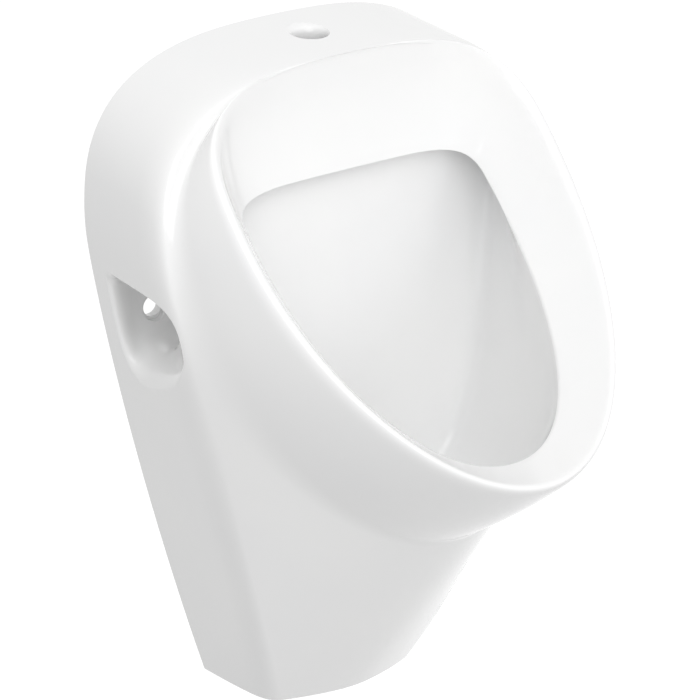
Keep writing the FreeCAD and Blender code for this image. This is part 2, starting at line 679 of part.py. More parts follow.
WASHER_BOTTOM = "-seatThickness - sealThickness"
clamp_washer = turned("clamp_washer", *DRAIN, ring_section(
    "neckRadius + fitGap", "clampRadius - gripRadius", WASHER_BOTTOM, "-seatThickness"))
clamp_nut = turned("clamp_nut", *DRAIN, ring_section(
    "neckRadius + fitGap", "clampRadius", WASHER_BOTTOM + " - clampHeight", WASHER_BOTTOM))
cut_round(clamp_nut, "clampRadius", "gripRadius", WASHER_BOTTOM + " - clampHeight", "clampHeight",
          "gripCount")

# The strainer lies on the ledge inside the flange and lifts out by its knob.
PLATE_TOP = "strainerThickness + strainerDome"
SKIRT_RADIUS = "neckRadius - neckWall - fitGap"
strainer = turned("strainer", "0", "-drainDepth", SEAT_LEVEL + " + " + LEDGE, [
    ("0", "strainerDome"),
    (SKIRT_RADIUS + " - skirtWall", "0"),
    (SKIRT_RADIUS + " - skirtWall", "-skirtLength"),
    (SKIRT_RADIUS, "-skirtLength"),
    (SKIRT_RADIUS, "0"),
    ("strainerRadius", "0"),
    ("strainerRadius", "strainerThickness"),
    ("knobRadius", PLATE_TOP),
    ("knobRadius", PLATE_TOP + " + knobHeight"),
    ("0", PLATE_TOP + " + knobHeight")])
for ring_radius, holes in (("innerRing", "innerHoles"), ("outerRing", "outerHoles")):
    cut_round(strainer, ring_radius, "strainerHole", "-skirtLength", PLATE_TOP + " + skirtLength",
              holes)

# The trap: a bend with two legs, the inlet's socket on the front one and a collar on the rear one.
LIP_TOP = NECK_BOTTOM + " - tailGap"
TAIL_WASHER_TOP = LIP_TOP + " - lipThickness"
SOCKET_TOP = TAIL_WASHER_TOP + " - sealThickness"
BEND_CENTRE = SEAT_LEVEL + " + " + SOCKET_TOP + " - inletLeg"
SOCKET_RADIUS = "tubeRadius + fitGap + socketWall"
STEP_LEVEL = "inletLeg - socketDepth"
BOSS_BOTTOM = "-bendRadius - tubeRadius - bossHeight"
trap_bend = new_body("trap_bend", "0", "bendRadius - drainDepth", BEND_CENTRE)
bent(trap_bend, "Revolution", "-bendRadius", "tubeRadius", 180)
straight(trap_bend, "Pad", "-bendRadius", "tubeRadius", "0", STEP_LEVEL + " - socketStep")
straight(trap_bend, "Pad", "-bendRadius", SOCKET_RADIUS, STEP_LEVEL + " - socketStep",
         "socketDepth + socketStep")
straight(trap_bend, "Pad", "bendRadius", "tubeRadius", "0", "unionRise - collarHeight")
straight(trap_bend, "Pad", "bendRadius", "collarRadius", "unionRise - collarHeight", "collarHeight")
straight(trap_bend, "Pad", "0", "bossRadius", BOSS_BOTTOM, "bossHeight + tubeRadius")
bent(trap_bend, "Groove", "-bendRadius", "tubeRadius - tubeWall", 180)
straight(trap_bend, "Pocket", "-bendRadius", "tubeRadius - tubeWall", "0", STEP_LEVEL)
straight(trap_bend, "Pocket", "-bendRadius", "tubeRadius + fitGap", STEP_LEVEL, "socketDepth")
straight(trap_bend, "Pocket", "bendRadius", "tubeRadius - tubeWall", "0", "unionRise")
straight(trap_bend, "Pocket", "0", "plugRadius", BOSS_BOTTOM, "bossHeight + tubeRadius")

tail_washer = turned("tail_washer", *DRAIN, ring_section(
    "tubeRadius + fitGap", SOCKET_RADIUS, SOCKET_TOP, TAIL_WASHER_TOP))
NUT_BORE = SOCKET_RADIUS + " + fitGap"
NUT_BOTTOM = TAIL_WASHER_TOP + " - nutLength"
tail_nut = turned("tail_nut", *DRAIN, [
    (NUT_BORE, NUT_BOTTOM),
    (NUT_BORE + " + nutWall", NUT_BOTTOM),
    (NUT_BORE + " + nutWall", LIP_TOP),
    ("tubeRadius + fitGap", LIP_TOP),
    ("tubeRadius + fitGap", TAIL_WASHER_TOP),
    (NUT_BORE, TAIL_WASHER_TOP)])
cut_round(tail_nut, NUT_BORE + " + nutWall", "gripRadius", NUT_BOTTOM, "nutLength + lipThickness",
          "gripCount")

cleaning_plug = turned("cleaning_plug", "0", "bendRadius - drainDepth",
                       BEND_CENTRE + " + " + BOSS_BOTTOM, [
    ("0", "-smallSeal - plugHeadHeight"),
    ("plugHeadRadius", "-smallSeal - plugHeadHeight"),
    ("plugHeadRadius", "-smallSeal"),
    ("plugRadius - fitGap", "-smallSeal"),
    ("plugRadius - fitGap", "bossHeight"),
    ("0", "bossHeight")])
slot = new_sketch(cleaning_plug, "XY_Plane", "-smallSeal - plugHeadHeight")
draw_outline(slot, [("-slotWidth / 2", "-plugHeadRadius"), ("slotWidth / 2", "-plugHeadRadius"),
                    ("slotWidth / 2", "plugHeadRadius"), ("-slotWidth / 2", "plugHeadRadius")])
extruded(cleaning_plug, "Pocket", slot, "plugHeadHeight / 2", True)
plug_seal = turned("plug_seal", "0", "bendRadius - drainDepth", BEND_CENTRE + " + " + BOSS_BOTTOM,
                   ring_section("plugRadius", "bossRadius", "-smallSeal", "0"))

# The union joins the rear leg's collar to the outlet arm's, with a washer between them.
UNION = ("0", "2 * bendRadius - drainDepth", BEND_CENTRE + " + unionRise")
union_washer = turned("union_washer", *UNION, ring_section(
    "tubeRadius - tubeWall", "collarRadius", "0", "sealThickness"))
union_nut = turned("union_nut", *UNION, [
    ("tubeRadius + fitGap", "-collarHeight - lipThickness"),
    ("collarRadius + fitGap + nutWall", "-collarHeight - lipThickness"),
    ("collarRadius + fitGap + nutWall", "sealThickness + collarHeight"),
    ("collarRadius + fitGap", "sealThickness + collarHeight"),
    ("collarRadius + fitGap", "-collarHeight"),
    ("tubeRadius + fitGap", "-collarHeight")])
cut_round(union_nut, "collarRadius + fitGap + nutWall", "gripRadius", "-collarHeight - lipThickness",
          "2 * collarHeight + lipThickness + sealThickness", "gripCount")

# The outlet arm turns from the union into the wall.
ARM_LENGTH = "drainDepth - 3 * bendRadius"
trap_arm = new_body("trap_arm", "0", "3 * bendRadius - drainDepth",
                    BEND_CENTRE + " + unionRise + sealThickness + collarHeight")
bent(trap_arm, "Revolution", "-bendRadius", "tubeRadius", 90, True)
straight(trap_arm, "Pad", "-bendRadius", "collarRadius", "-collarHeight", "collarHeight")
straight(trap_arm, "Pad", "bendRadius", "tubeRadius", "0", ARM_LENGTH, "XZ_Plane", True)
bent(trap_arm, "Groove", "-bendRadius", "tubeRadius - tubeWall", 90, True)
straight(trap_arm, "Pocket", "-bendRadius", "tubeRadius - tubeWall", "-collarHeight",
         "collarHeight")
straight(trap_arm, "Pocket", "bendRadius", "tubeRadius - tubeWall", "0", ARM_LENGTH, "XZ_Plane",
         False)

# The flush nozzle passes through the bowl's back wall, and its height is counted into the bowl.
NOZZLE = ("0", "-bowlBackDepth", SPRAY_LEVEL)
spreader = turned("spreader", *NOZZLE, [
    ("sprayStemRadius - sprayWall", "-sprayStemLength"),
    ("sprayStemRadius", "-sprayStemLength"),
    ("sprayStemRadius", "smallSeal"),
    ("sprayRadius", "smallSeal"),
    ("sprayRadius", "smallSeal + sprayLength"),
    ("0", "smallSeal + sprayLength"),
    ("0", "smallSeal + sprayLength - sprayWall"),
    ("sprayRadius - sprayWall", "smallSeal + sprayLength - sprayWall"),
    ("sprayRadius - sprayWall", "smallSeal + sprayWall"),
    ("sprayStemRadius - sprayWall", "smallSeal + sprayWall")], FROM_WALL)
jet = new_sketch(spreader, "XZ_Plane")
draw_circle(jet, "0", "smallSeal + sprayLength / 2", "sprayHole")
jet_axis = new_sketch(spreader, "XY_Plane")
draw_circle(jet_axis, "0", "0", "sprayHole")
repeated(spreader, extruded(spreader, "Pocket", jet, "2 * sprayRadius"), jet_axis, "sprayHoles")
spreader_seal = turned("spreader_seal", *NOZZLE, ring_section(
    "sprayStemRadius + fitGap", "sprayRadius", "0", "smallSeal"), FROM_WALL)

ceramic.Label = "ceramic_body"
pieces = [ceramic, spreader, spreader_seal, strainer, waste_outlet, flange_seal, clamp_washer,
          clamp_nut, tail_washer, tail_nut, trap_bend, cleaning_plug, plug_seal, union_washer,
          union_nut, trap_arm]
doc.recompute()

for feature in doc.Objects:
    if "Invalid" in feature.State or "Error" in feature.State:
        raise RuntimeError(feature.Label + " did not build: " + ", ".join(feature.State))
for piece in pieces:
    if piece.Shape.isNull() or not piece.Shape.isValid():
        raise RuntimeError(piece.Label + " has no valid shape")

os.makedirs("parts", exist_ok=True)
for piece in pieces:
    piece.Shape.exportStep("parts/" + piece.Label + ".step")
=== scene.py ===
import json
import math

import bpy
import numpy as np
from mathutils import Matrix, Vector

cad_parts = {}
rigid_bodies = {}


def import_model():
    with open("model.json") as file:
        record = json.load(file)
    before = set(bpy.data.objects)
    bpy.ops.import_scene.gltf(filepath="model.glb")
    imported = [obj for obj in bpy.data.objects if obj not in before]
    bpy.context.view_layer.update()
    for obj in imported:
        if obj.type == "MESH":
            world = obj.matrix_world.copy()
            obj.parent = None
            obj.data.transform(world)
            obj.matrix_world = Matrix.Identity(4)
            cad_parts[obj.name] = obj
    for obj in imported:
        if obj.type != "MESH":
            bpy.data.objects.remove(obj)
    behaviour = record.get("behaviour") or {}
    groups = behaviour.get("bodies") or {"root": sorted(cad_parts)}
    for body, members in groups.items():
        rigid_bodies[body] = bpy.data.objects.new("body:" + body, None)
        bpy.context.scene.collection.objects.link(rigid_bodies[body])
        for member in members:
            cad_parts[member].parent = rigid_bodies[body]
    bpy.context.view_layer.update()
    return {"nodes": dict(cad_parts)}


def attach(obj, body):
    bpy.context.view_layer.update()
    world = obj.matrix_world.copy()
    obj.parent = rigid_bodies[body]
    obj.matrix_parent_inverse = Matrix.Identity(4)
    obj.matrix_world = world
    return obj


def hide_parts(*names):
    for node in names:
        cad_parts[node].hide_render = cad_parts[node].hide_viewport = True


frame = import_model()
nodes = frame["nodes"]
print("frame loaded")

millimetre = 0.001
tiny = 1e-9


# A socket that can be added and multiplied, so that shader maths reads as maths.
class Link:
    def __init__(self, shader, socket):
        self.shader = shader
        self.socket = socket

    def __add__(self, other):
        return self.shader.maths("ADD", self, other)

    def __radd__(self, other):
        return self.shader.maths("ADD", other, self)

    def __mul__(self, other):
        return self.shader.maths("MULTIPLY", self, other)

    def __rmul__(self, other):
        return self.shader.maths("MULTIPLY", other, self)


# The node tree of a material or a world, built anew.
class Shader:
    def __init__(self, owner):
        owner.use_nodes = True
        self.owner = owner
        self.tree = owner.node_tree
        self.tree.nodes.clear()

    # One node: its type, its settings, then the values or links of its sockets by name or place.
    def node(self, kind, settings=None, sockets=None, output=0):
        made = self.tree.nodes.new(kind)
        for key, value in (settings or {}).items():
            setattr(made, key, value)
        for key, value in (sockets or {}).items():
            if isinstance(value, Link):
                self.tree.links.new(value.socket, made.inputs[key])
            else:
                made.inputs[key].default_value = value
        return Link(self, made.outputs[output]) if len(made.outputs) else made

    def maths(self, operation, first, second):
        return self.node("ShaderNodeMath", {"operation": operation}, {0: first, 1: second})

    # Noise over the object's own metres, stretched along each axis.
    def noise(self, scale, detail=2.0, stretch=(1, 1, 1)):
        here = self.node("ShaderNodeTexCoord", output="Object")
        place = self.node("ShaderNodeMapping", None, {"Vector": here, "Scale": stretch})
        return self.node("ShaderNodeTexNoise", None,
                         {"Vector": place, "Scale": scale, "Detail": detail})

    # A share that rises evenly from 0 at the low value to 1 at the high one.
    def rise(self, value, low, high):
        share = self.node("ShaderNodeValToRGB", None, {"Fac": value})
        black, white = share.socket.node.color_ramp.elements
        black.position, white.position = low, high
        return share

    # Two colours mixed by a share. A Mix node has its colours at inputs 6 and 7 and at output 2.
    def mixed(self, share, first, second):
        return self.node("ShaderNodeMix", {"data_type": "RGBA"},
                         {0: share, 6: (*first, 1), 7: (*second, 1)}, output=2)

    def bump(self, height, strength, distance):
        return self.node("ShaderNodeBump", None,
                         {"Height": height, "Strength": strength, "Distance": distance})

    # Blender's own surface shader, with whatever feeds it, and the material's output.
    def finish(self, **sockets):
        named = {key.replace("_", " "): value for key, value in sockets.items()}
        surface = self.node("ShaderNodeBsdfPrincipled", None, named)
        self.node("ShaderNodeOutputMaterial", None, {"Surface": surface})
        return self.owner


glazeLook = {
    "colour": (0.93, 0.93, 0.927), "thinColour": (0.91, 0.912, 0.914), "index": 1.5,
    "cloudScale": 9.0, "cloudDetail": 3.0, "cloudRise": (0.35, 0.7),
    "fineScale": 140.0, "fineRise": (0.45, 0.75), "fineHeight": 0.0004,
    "roughness": 0.07, "roughnessSpread": 0.03,
    "swellScale": 22.0, "swellDetail": 1.0, "swellHeight": 0.012,
    "bumpStrength": 0.25, "bumpDistance": 0.02,
}


# Fired glaze: almost even white, faintly cloudy, with the soft waviness of a dipped surface.
def makeGlaze():
    look = glazeLook
    shader = Shader(bpy.data.materials.new("whiteGlaze"))
    cloud = shader.rise(shader.noise(look["cloudScale"], look["cloudDetail"]), *look["cloudRise"])
    fine = shader.noise(look["fineScale"])
    swell = shader.noise(look["swellScale"], look["swellDetail"])
    height = swell * look["swellHeight"] + fine * look["fineHeight"]
    return shader.finish(
        Base_Color=shader.mixed(cloud, look["colour"], look["thinColour"]),
        Roughness=look["roughness"] + shader.rise(fine, *look["fineRise"]) * look["roughnessSpread"],
        Normal=shader.bump(height, look["bumpStrength"], look["bumpDistance"]), IOR=look["index"])


# Patches are a noise's scale and detail, and the values where they begin and are full. Roughness is
# that of the clean surface and how much the patches add. Grain is a noise's scale and stretch, and
# the strength and distance of its bump.
plumbingLooks = {
    # chrome plate with faint water marks and wiping lines
    "chromePlate": {
        "colour": (0.80, 0.81, 0.82), "patchColour": (0.70, 0.71, 0.72),
        "patches": (60.0, 4.0, 0.4, 0.75), "roughness": (0.09, 0.12),
        "grain": (900.0, (1, 0.05, 1), 0.03, 0.001), "others": {"Metallic": 1.0}},
    # moulded plastic with slight unevenness of colour
    "whitePlastic": {
        "colour": (0.80, 0.80, 0.79), "patchColour": (0.74, 0.74, 0.735),
        "patches": (35.0, 3.0, 0.35, 0.7), "roughness": (0.28, 0.08),
        "grain": (1600.0, (1, 1, 1), 0.12, 0.0004), "others": {"IOR": 1.49}},
    "greyPlastic": {
        "colour": (0.34, 0.35, 0.36), "patchColour": (0.28, 0.29, 0.30),
        "patches": (35.0, 3.0, 0.35, 0.7), "roughness": (0.42, 0.08),
        "grain": (1600.0, (1, 1, 1), 0.3, 0.0004), "others": {"IOR": 1.49}},
    # rubber, dark, dull and a little dusty
    "blackRubber": {
        "colour": (0.022, 0.022, 0.023), "patchColour": (0.07, 0.068, 0.065),
        "patches": (180.0, 4.0, 0.5, 0.8), "roughness": (0.62, 0.2),
        "grain": (2200.0, (1, 1, 1), 0.25, 0.0003), "others": {}},
}


# One finish of the plumbing: a colour and a roughness that both change in the patches, and a grain.
def makeFinish(name, look):
    shader = Shader(bpy.data.materials.new(name))
    scale, detail, low, high = look["patches"]
    patches = shader.rise(shader.noise(scale, detail), low, high)
    roughness, spread = look["roughness"]
    grain, stretch, strength, distance = look["grain"]
    return shader.finish(
        Base_Color=shader.mixed(patches, look["colour"], look["patchColour"]),
        Roughness=roughness + patches * spread,
        Normal=shader.bump(shader.noise(grain, stretch=stretch), strength, distance),
        **look["others"])


glaze = makeGlaze()
plumbing = {name: makeFinish(name, look) for name, look in plumbingLooks.items()}
print("materials made")


# Lengths in millimetres, heights from the underside of the skirt, depths from the wall. The shell, the
# crease and the rim are the CAD source's. The opening, the bowl's inside and the side recess were
# fitted to the photograph further than there, and lie up to about a centimetre from it.
ceramic = {
    "fixingLevel": 314, "wall": 10,
    # points round a ring, points of the skin between two of them, and points round a bore
    "controlPoints": 40, "pointsPerSpan": 11, "borePoints": 96,
    # a ring is half width, top, widest level, bottom, squareness above and below, depths at the top,
    # the widest level, the bottom and, with a fourth, the underside of the skirt, then any narrowing
    "wallRing": (173, 515, 390, -183, 2.8, 1.2, (0, 0, 0)),
    "shellRing": (181, 507, 378, -100, 2.72, 1.35, (84, 105, 20, 79)),
    "creaseRing": (168, 506.5, 371, 168, 2.45, 1.87, (90, 118, 222)),
    "rimRing": (146.7, 506, 414, 247, 3.43, 1.96, (88.5, 166.8, 331)),
    "openingRing": (108.6, 417.5, 381, 249, 5.0, 2.14, (92, 128, 282)),
    "bowlRing": (136, 437, 380, 143, 4.0, 3.4, (86, 112, 205), 0.12),
    "backRing": (147, 441, 380, 150, 3.6, 6.0, (79, 79, 79), 0.2), "backMargin": 40,
    "closingRing": (31, 414, 282, 150, 2, 2, (166.8, 166.8, 166.8)),
    # lengths of the roundings, of which a part of the skin gives at most the corner's share
    "shellRound": 26, "creaseRound": 24, "creaseCrisp": 6, "rimRound": 18.5, "openingRound": 2.5,
    "bowlRound": 15, "cornerShare": 0.45,
    # how far a part bows, as a share of its length
    "flankSwell": 0.02, "faceHollow": 0.025,
    # rows along each part of a skin and each rounding, in turn, and points between two of a ring's
    "rowsPerPart": (26, 14, 3, 9, 14, 14, 12, 5, 26, 9, 3),
    "hollowRows": (8, 6, 3, 4, 4), "hollowSpan": 6,
    "linerRows": (8, 6, 6, 6, 2), "linerSpan": 4,
    "scoopRows": (2, 2, 8, 16, 14, 10, 14, 12, 2), "scoopSpan": 7,
    "bowlBack": 79, "bowlFloor": 150,
    "chamberHalfWidth": 31, "chamberBottom": 407.5, "chamberTop": 500, "chamberBack": 25,
    "drainDepth": 118, "drainRadius": 30, "drainBottom": 125, "drainTop": 161,
    "seatLevel": 149.5, "seatRadius": 37.5, "seatThickness": 12, "seatClear": 40, "bossRadius": 40,
    "inletDepth": 44, "inletRadius": 13,
    # the inlet's rounded edge: levels, and how much wider the hole is there
    "inletEdge": ((484, 0), (505.6, 0), (507.6, 0.3), (509.2, 1.0), (510.3, 2.1), (511.2, 3.8),
                  (513.5, 9.5), (520, 30)),
    "nozzleLevel": 422.5, "nozzleRadius": 5, "nozzlePast": 5,
    "fixingReach": 120, "fixingRadius": 8, "flangeRadius": 24, "flangeDepth": 42, "flangePast": 20,
    "padDepth": 7, "padBoreRadius": 10.5, "fixingPast": 10,
    # the liner's and the scoop's rings: reach along X, middle depth, half depth, half height
    "recessRise": 319.5, "recessPower": 2.7, "recessRound": 12,
    "recessMouth": (191, 95, 59, 44), "recessThroat": (150, 39, 31, 30),
    "recessEnd": (106, 39, 31, 27),
    "scoopThroat": (134, 35, 27, 25), "recessScoop": (104, 35, 27, 21), "scoopRound": 10,
    # the recess's edge: middle depth and height, half of each, squareness, that of the upper corner by
    # the wall, and how far the lower edge leans
    "recessEdge": (76, 320.5, 49, 36, 2.8, 9, 20),
    "recessFlare": 26, "recessLift": 1.5, "cutterReach": 230, "cutterRound": 1,
    "recessCrisp": 2, "recessSoft": 18, "softMiddle": 0.5, "softSpread": 0.49,
    "sharpAngle": 38,
}

# Where the boxes that cut and keep end, outside the ceramic, in millimetres: the half width, how far in
# front of the wall and behind it, the level on top, and how far below the underside of the skirt.
boxEnds = {"side": 400, "front": 340, "back": 20, "top": 540, "bottom": 20, "deep": 600}

up, toWall = (0, 0, 1), (0, 1, 0)


# The value's size to a power, with the value's own sign.
def signedPower(value, power):
    return np.copysign(np.abs(value) ** power, value)


# Even angles round a ring.
def ringAngles():
    return 2 * math.pi * np.arange(ceramic["controlPoints"]) / ceramic["controlPoints"]


# Lengths of vectors kept in rows.
def lengths(rows):
    return np.linalg.norm(rows, axis=1, keepdims=True)


# A curve in height through the given depths, by Lagrange's formula: each depth times the product of
# (z - other height) / (own height - other height).
def depthAt(z, heights, depths):
    total = np.zeros_like(z)
    for own, depth in zip(heights, depths):
        share = np.full_like(z, depth)
        for other in heights:
            if other != own:
                share = share * (z - other) / (own - other)
        total += share
    return total


# A ring's control points: x is half * sin to the power 2 / squareness, z is the widest level plus
# the height above or below it * cos to that power, and y is minus the depth at that height. With a
# narrowing, x shrinks by that share evenly down to the bottom.
def ringPoints(ring, wall=0, out=0):
    half, top, wide, bottom, topPower, bottomPower, depths, *narrowing = ring
    half, top, bottom = half + wall, top + wall, bottom - wall
    across, along = np.sin(ringAngles()), np.cos(ringAngles())
    upper = along > -tiny
    power = np.where(upper, 2 / topPower, 2 / bottomPower)
    x = half * signedPower(across, power)
    z = wide + np.where(upper, top - wide, wide - bottom) * signedPower(along, power)
    if narrowing:
        x *= 1 - narrowing[0] * np.clip((wide - z) / (wide - bottom), 0, None)
    heights = (top, wide, bottom, 0)[:len(depths)]
    return np.stack([x, -depthAt(z, heights, [depth + out for depth in depths]), z], axis=1)


# A superellipse in a plane across X: y is half depth * sin and z half height * cos, both to the power
# 2 / squareness, round the middle depth and the recess's level.
def sidePoints(side, ring, wall=0, out=0):
    reach, middle, halfDepth, halfHeight = ring
    power = 2 / ceramic["recessPower"]
    y = (halfDepth + wall) * signedPower(np.sin(ringAngles()), power) - middle
    z = (halfHeight + wall) * signedPower(np.cos(ringAngles()), power) + ceramic["recessRise"]
    return np.stack([np.full_like(y, side * (reach + out)), y, z], axis=1)


# How far the shell's side reaches out at a depth and height: evenly from the wall's outline to the
# shell corner's, each half * (1 - ((wide - z) / (wide - bottom)) ^ power) ^ (1 / power), and the whole
# half above the widest level.
def sideReach(depth, z):
    reaches = []
    for half, _, wide, bottom, _, power, _ in (ceramic["wallRing"], ceramic["shellRing"]):
        drop = np.clip((wide - z) / (wide - bottom), 0, None)
        reaches.append(half * (1 - drop ** power) ** (1 / power))
    _, top, wide, bottom, _, _, depths = ceramic["shellRing"]
    cornerDepth = depthAt(z, (top, wide, bottom, 0), depths)
    return reaches[0] + (reaches[1] - reaches[0]) * depth / cornerDepth


# The recess's edge on the shell's side, grown all round and lifted off the shell, or drawn at a reach
# of its own. Across and along are sin and cos to the power 2 / squareness, depth is the middle - half
# * across, and z the middle + half * along, less the lean * across * how far along is below 0.
def edgePoints(side, grown=0.0, lift=0.0, reach=None):
    middle, rise, halfDepth, halfHeight, squareness, corner, lean = ceramic["recessEdge"]
    sine, cosine = np.sin(ringAngles()), np.cos(ringAngles())
    power = 2 / np.where((sine > tiny) & (cosine > tiny), corner, squareness)
    across, along = signedPower(sine, power), signedPower(cosine, power)
    depth = middle - (halfDepth + grown) * across
    z = rise + (halfHeight + grown) * along - lean * across * np.clip(-along, 0, None)
    x = sideReach(depth, z) + lift if reach is None else np.full_like(z, reach)
    return np.stack([side * x, -depth, z], axis=1)


# The recess's edge is soft towards the wall and below, and crisp above and in front: the share of
# softness is its middle + spread * (sin - cos), from 0 to 1.
def edgeLengths():
    softness = ceramic["softMiddle"] + ceramic["softSpread"] * (np.sin(ringAngles())
                                                                - np.cos(ringAngles()))
    share = np.clip(softness, 0, 1)[:, None]
    return ceramic["recessCrisp"] + (ceramic["recessSoft"] - ceramic["recessCrisp"]) * share


# The crease is crisp under the bowl and widens evenly with height to its soft sides.
def creaseLengths(ring):
    wide, bottom = ceramic["creaseRing"][2:4]
    share = np.clip((ring[:, 2:] - bottom) / (wide - bottom), None, 1)
    return ceramic["creaseCrisp"] + (ceramic["creaseRound"] - ceramic["creaseCrisp"]) * share


# Rows of a Bezier strip: (1-t) a + t b between two control rows, and (1-t)^2 a + 2t(1-t) b + t^2 c
# through three.
def stripRows(controls, count):
    t = np.linspace(0, 1, count, endpoint=False)[:, None, None]
    if len(controls) == 2:
        return (1 - t) * controls[0] + t * controls[1]
    return (1 - t) ** 2 * controls[0] + 2 * t * (1 - t) * controls[1] + t * t * controls[2]


# The middle control row of a part that bows: halfway, moved by 2 * share * direction * length.
def bowedRow(first, last, direction, share):
    return (first + last) / 2 + 2 * share * direction * lengths(last - first)


# The directions from the bowl's middle line to the points halfway between two rings, level with the
# wall.
def awayFromBowl(first, last):
    out = ((first + last) / 2 - [0, 0, ceramic["rimRing"][2]]) * [1, 0, 1]
    return out / np.maximum(lengths(out), tiny)


# A skin from ring to ring, each corner rounded over its length. A part is straight, unless a guide
# row, kept under the number of the ring where the part ends, bends it to a parabola.
def skinRows(rings, rounds, counts, guides=None):
    guides = guides or {}
    rows, start = [], rings[0]
    for index in range(1, len(rings) - 1):
        back = guides.get(index, rings[index - 1]) - rings[index]
        on = guides.get(index + 1, rings[index + 1]) - rings[index]
        backLength, onLength = np.maximum(lengths(back), tiny), np.maximum(lengths(on), tiny)
        length, most = rounds[index - 1], ceramic["cornerShare"]
        before = rings[index] + back * np.minimum(length, most * backLength) / backLength
        after = rings[index] + on * np.minimum(length, most * onLength) / onLength
        controls = [start, guides[index], before] if index in guides else [start, before]
        rows += [stripRows(controls, counts[2 * index - 2]),
                 stripRows([before, rings[index], after], counts[2 * index - 1])]
        start = after
    rows += [stripRows([start, rings[-1]], counts[-1]), rings[-1][None]]
    return np.concatenate(rows)


# The closed cubic curve of each row's control points, with even knots: the weights of the four points
# round a span at fraction f are (1-f)^3, 3f^3-6f^2+4, -3f^3+3f^2+3f+1 and f^3, all over 6.
def curveRows(rows, perSpan):
    f = np.tile(np.arange(perSpan) / perSpan, rows.shape[1])[:, None]
    span = np.repeat(np.arange(rows.shape[1]), perSpan)
    weights = ((1 - f) ** 3, 3 * f ** 3 - 6 * f ** 2 + 4, -3 * f ** 3 + 3 * f ** 2 + 3 * f + 1, f ** 3)
    return sum(weight / 6 * rows[:, (span + step - 1) % rows.shape[1]]
               for step, weight in enumerate(weights))


# A closed mesh from a grid of rings, one quad between neighbours and a fan over each end.
def closedMesh(name, grid, flipped=False):
    rows, columns = grid.shape[:2]
    ends = np.stack([grid[0].mean(axis=0), grid[-1].mean(axis=0)])
    points = np.concatenate([grid.reshape(-1, 3), ends])
    points[:, 2] -= ceramic["fixingLevel"]
    index = np.arange(rows * columns).reshape(rows, columns)
    turned = np.roll(index, -1, axis=1)
    quads = np.stack([index[:-1], index[1:], turned[1:], turned[:-1]], axis=-1).reshape(-1, 4)
    first, last = rows * columns, rows * columns + 1
    fans = np.concatenate([
        np.stack([np.full(columns, first), index[0], turned[0]], axis=1),
        np.stack([np.full(columns, last), turned[-1], index[-1]], axis=1)])
    if flipped:
        quads, fans = quads[:, ::-1], fans[:, ::-1]
    mesh = bpy.data.meshes.new(name)
    mesh.from_pydata((points * millimetre).tolist(), [], quads.tolist() + fans.tolist())
    piece = bpy.data.objects.new(name, mesh)
    bpy.context.scene.collection.objects.link(piece)
    return piece


# A turned solid: a circle of each radius at each place along an axis that starts at a point.
def turnedSolid(name, start, axis, profile):
    axis = np.array(axis, dtype=float)
    side = np.array([1.0, 0, 0])
    angle = 2 * math.pi * np.arange(ceramic["borePoints"]) / ceramic["borePoints"]
    circle = np.outer(np.cos(angle), side) + np.outer(np.sin(angle), np.cross(axis, side))
    grid = np.stack([np.array(start) + axis * place + circle * radius for place, radius in profile])
    return closedMesh(name, grid, flipped=True)


# A round bar of one radius.
def bar(name, start, axis, length, radius):
    return turnedSolid(name, start, axis, ((0, radius), (length, radius)))


# A box between its lowest and its highest corner.
def boxSolid(name, low, high):
    (x0, y0, z0), (x1, y1, z1) = low, high
    ring = np.array([[x0, y0, z0], [x1, y0, z0], [x1, y1, z0], [x0, y1, z0]], dtype=float)
    return closedMesh(name, np.stack([ring, ring + [0, 0, z1 - z0]]), flipped=True)


# Joins to, cuts from or keeps in common with a piece, one after the other, and keeps the result.
def combine(piece, others, operation):
    for other in others:
        step = piece.modifiers.new(operation, "BOOLEAN")
        step.operation = operation
        step.solver = "MANIFOLD"
        step.object = other
    graph = bpy.context.evaluated_depsgraph_get()
    result = bpy.data.meshes.new_from_object(piece.evaluated_get(graph))
    piece.modifiers.clear()
    piece.data = result
    for other in others:
        bpy.data.objects.remove(other)
    return piece


# The ceramic round one recess, which stands in the hollow.
def makeLiner(side):
    c = ceramic
    mouth, throat, end = c["recessMouth"], c["recessThroat"], c["recessEnd"]
    rings = [sidePoints(side, mouth, c["wall"]), sidePoints(side, throat, c["wall"]),
             sidePoints(side, end, c["wall"], -c["wall"]),
             sidePoints(side, end, -c["recessRound"], -c["wall"])]
    rows = skinRows(rings, (c["recessRound"],) * 2, c["linerRows"])
    return closedMesh("liner", curveRows(rows, c["linerSpan"]), flipped=side > 0)


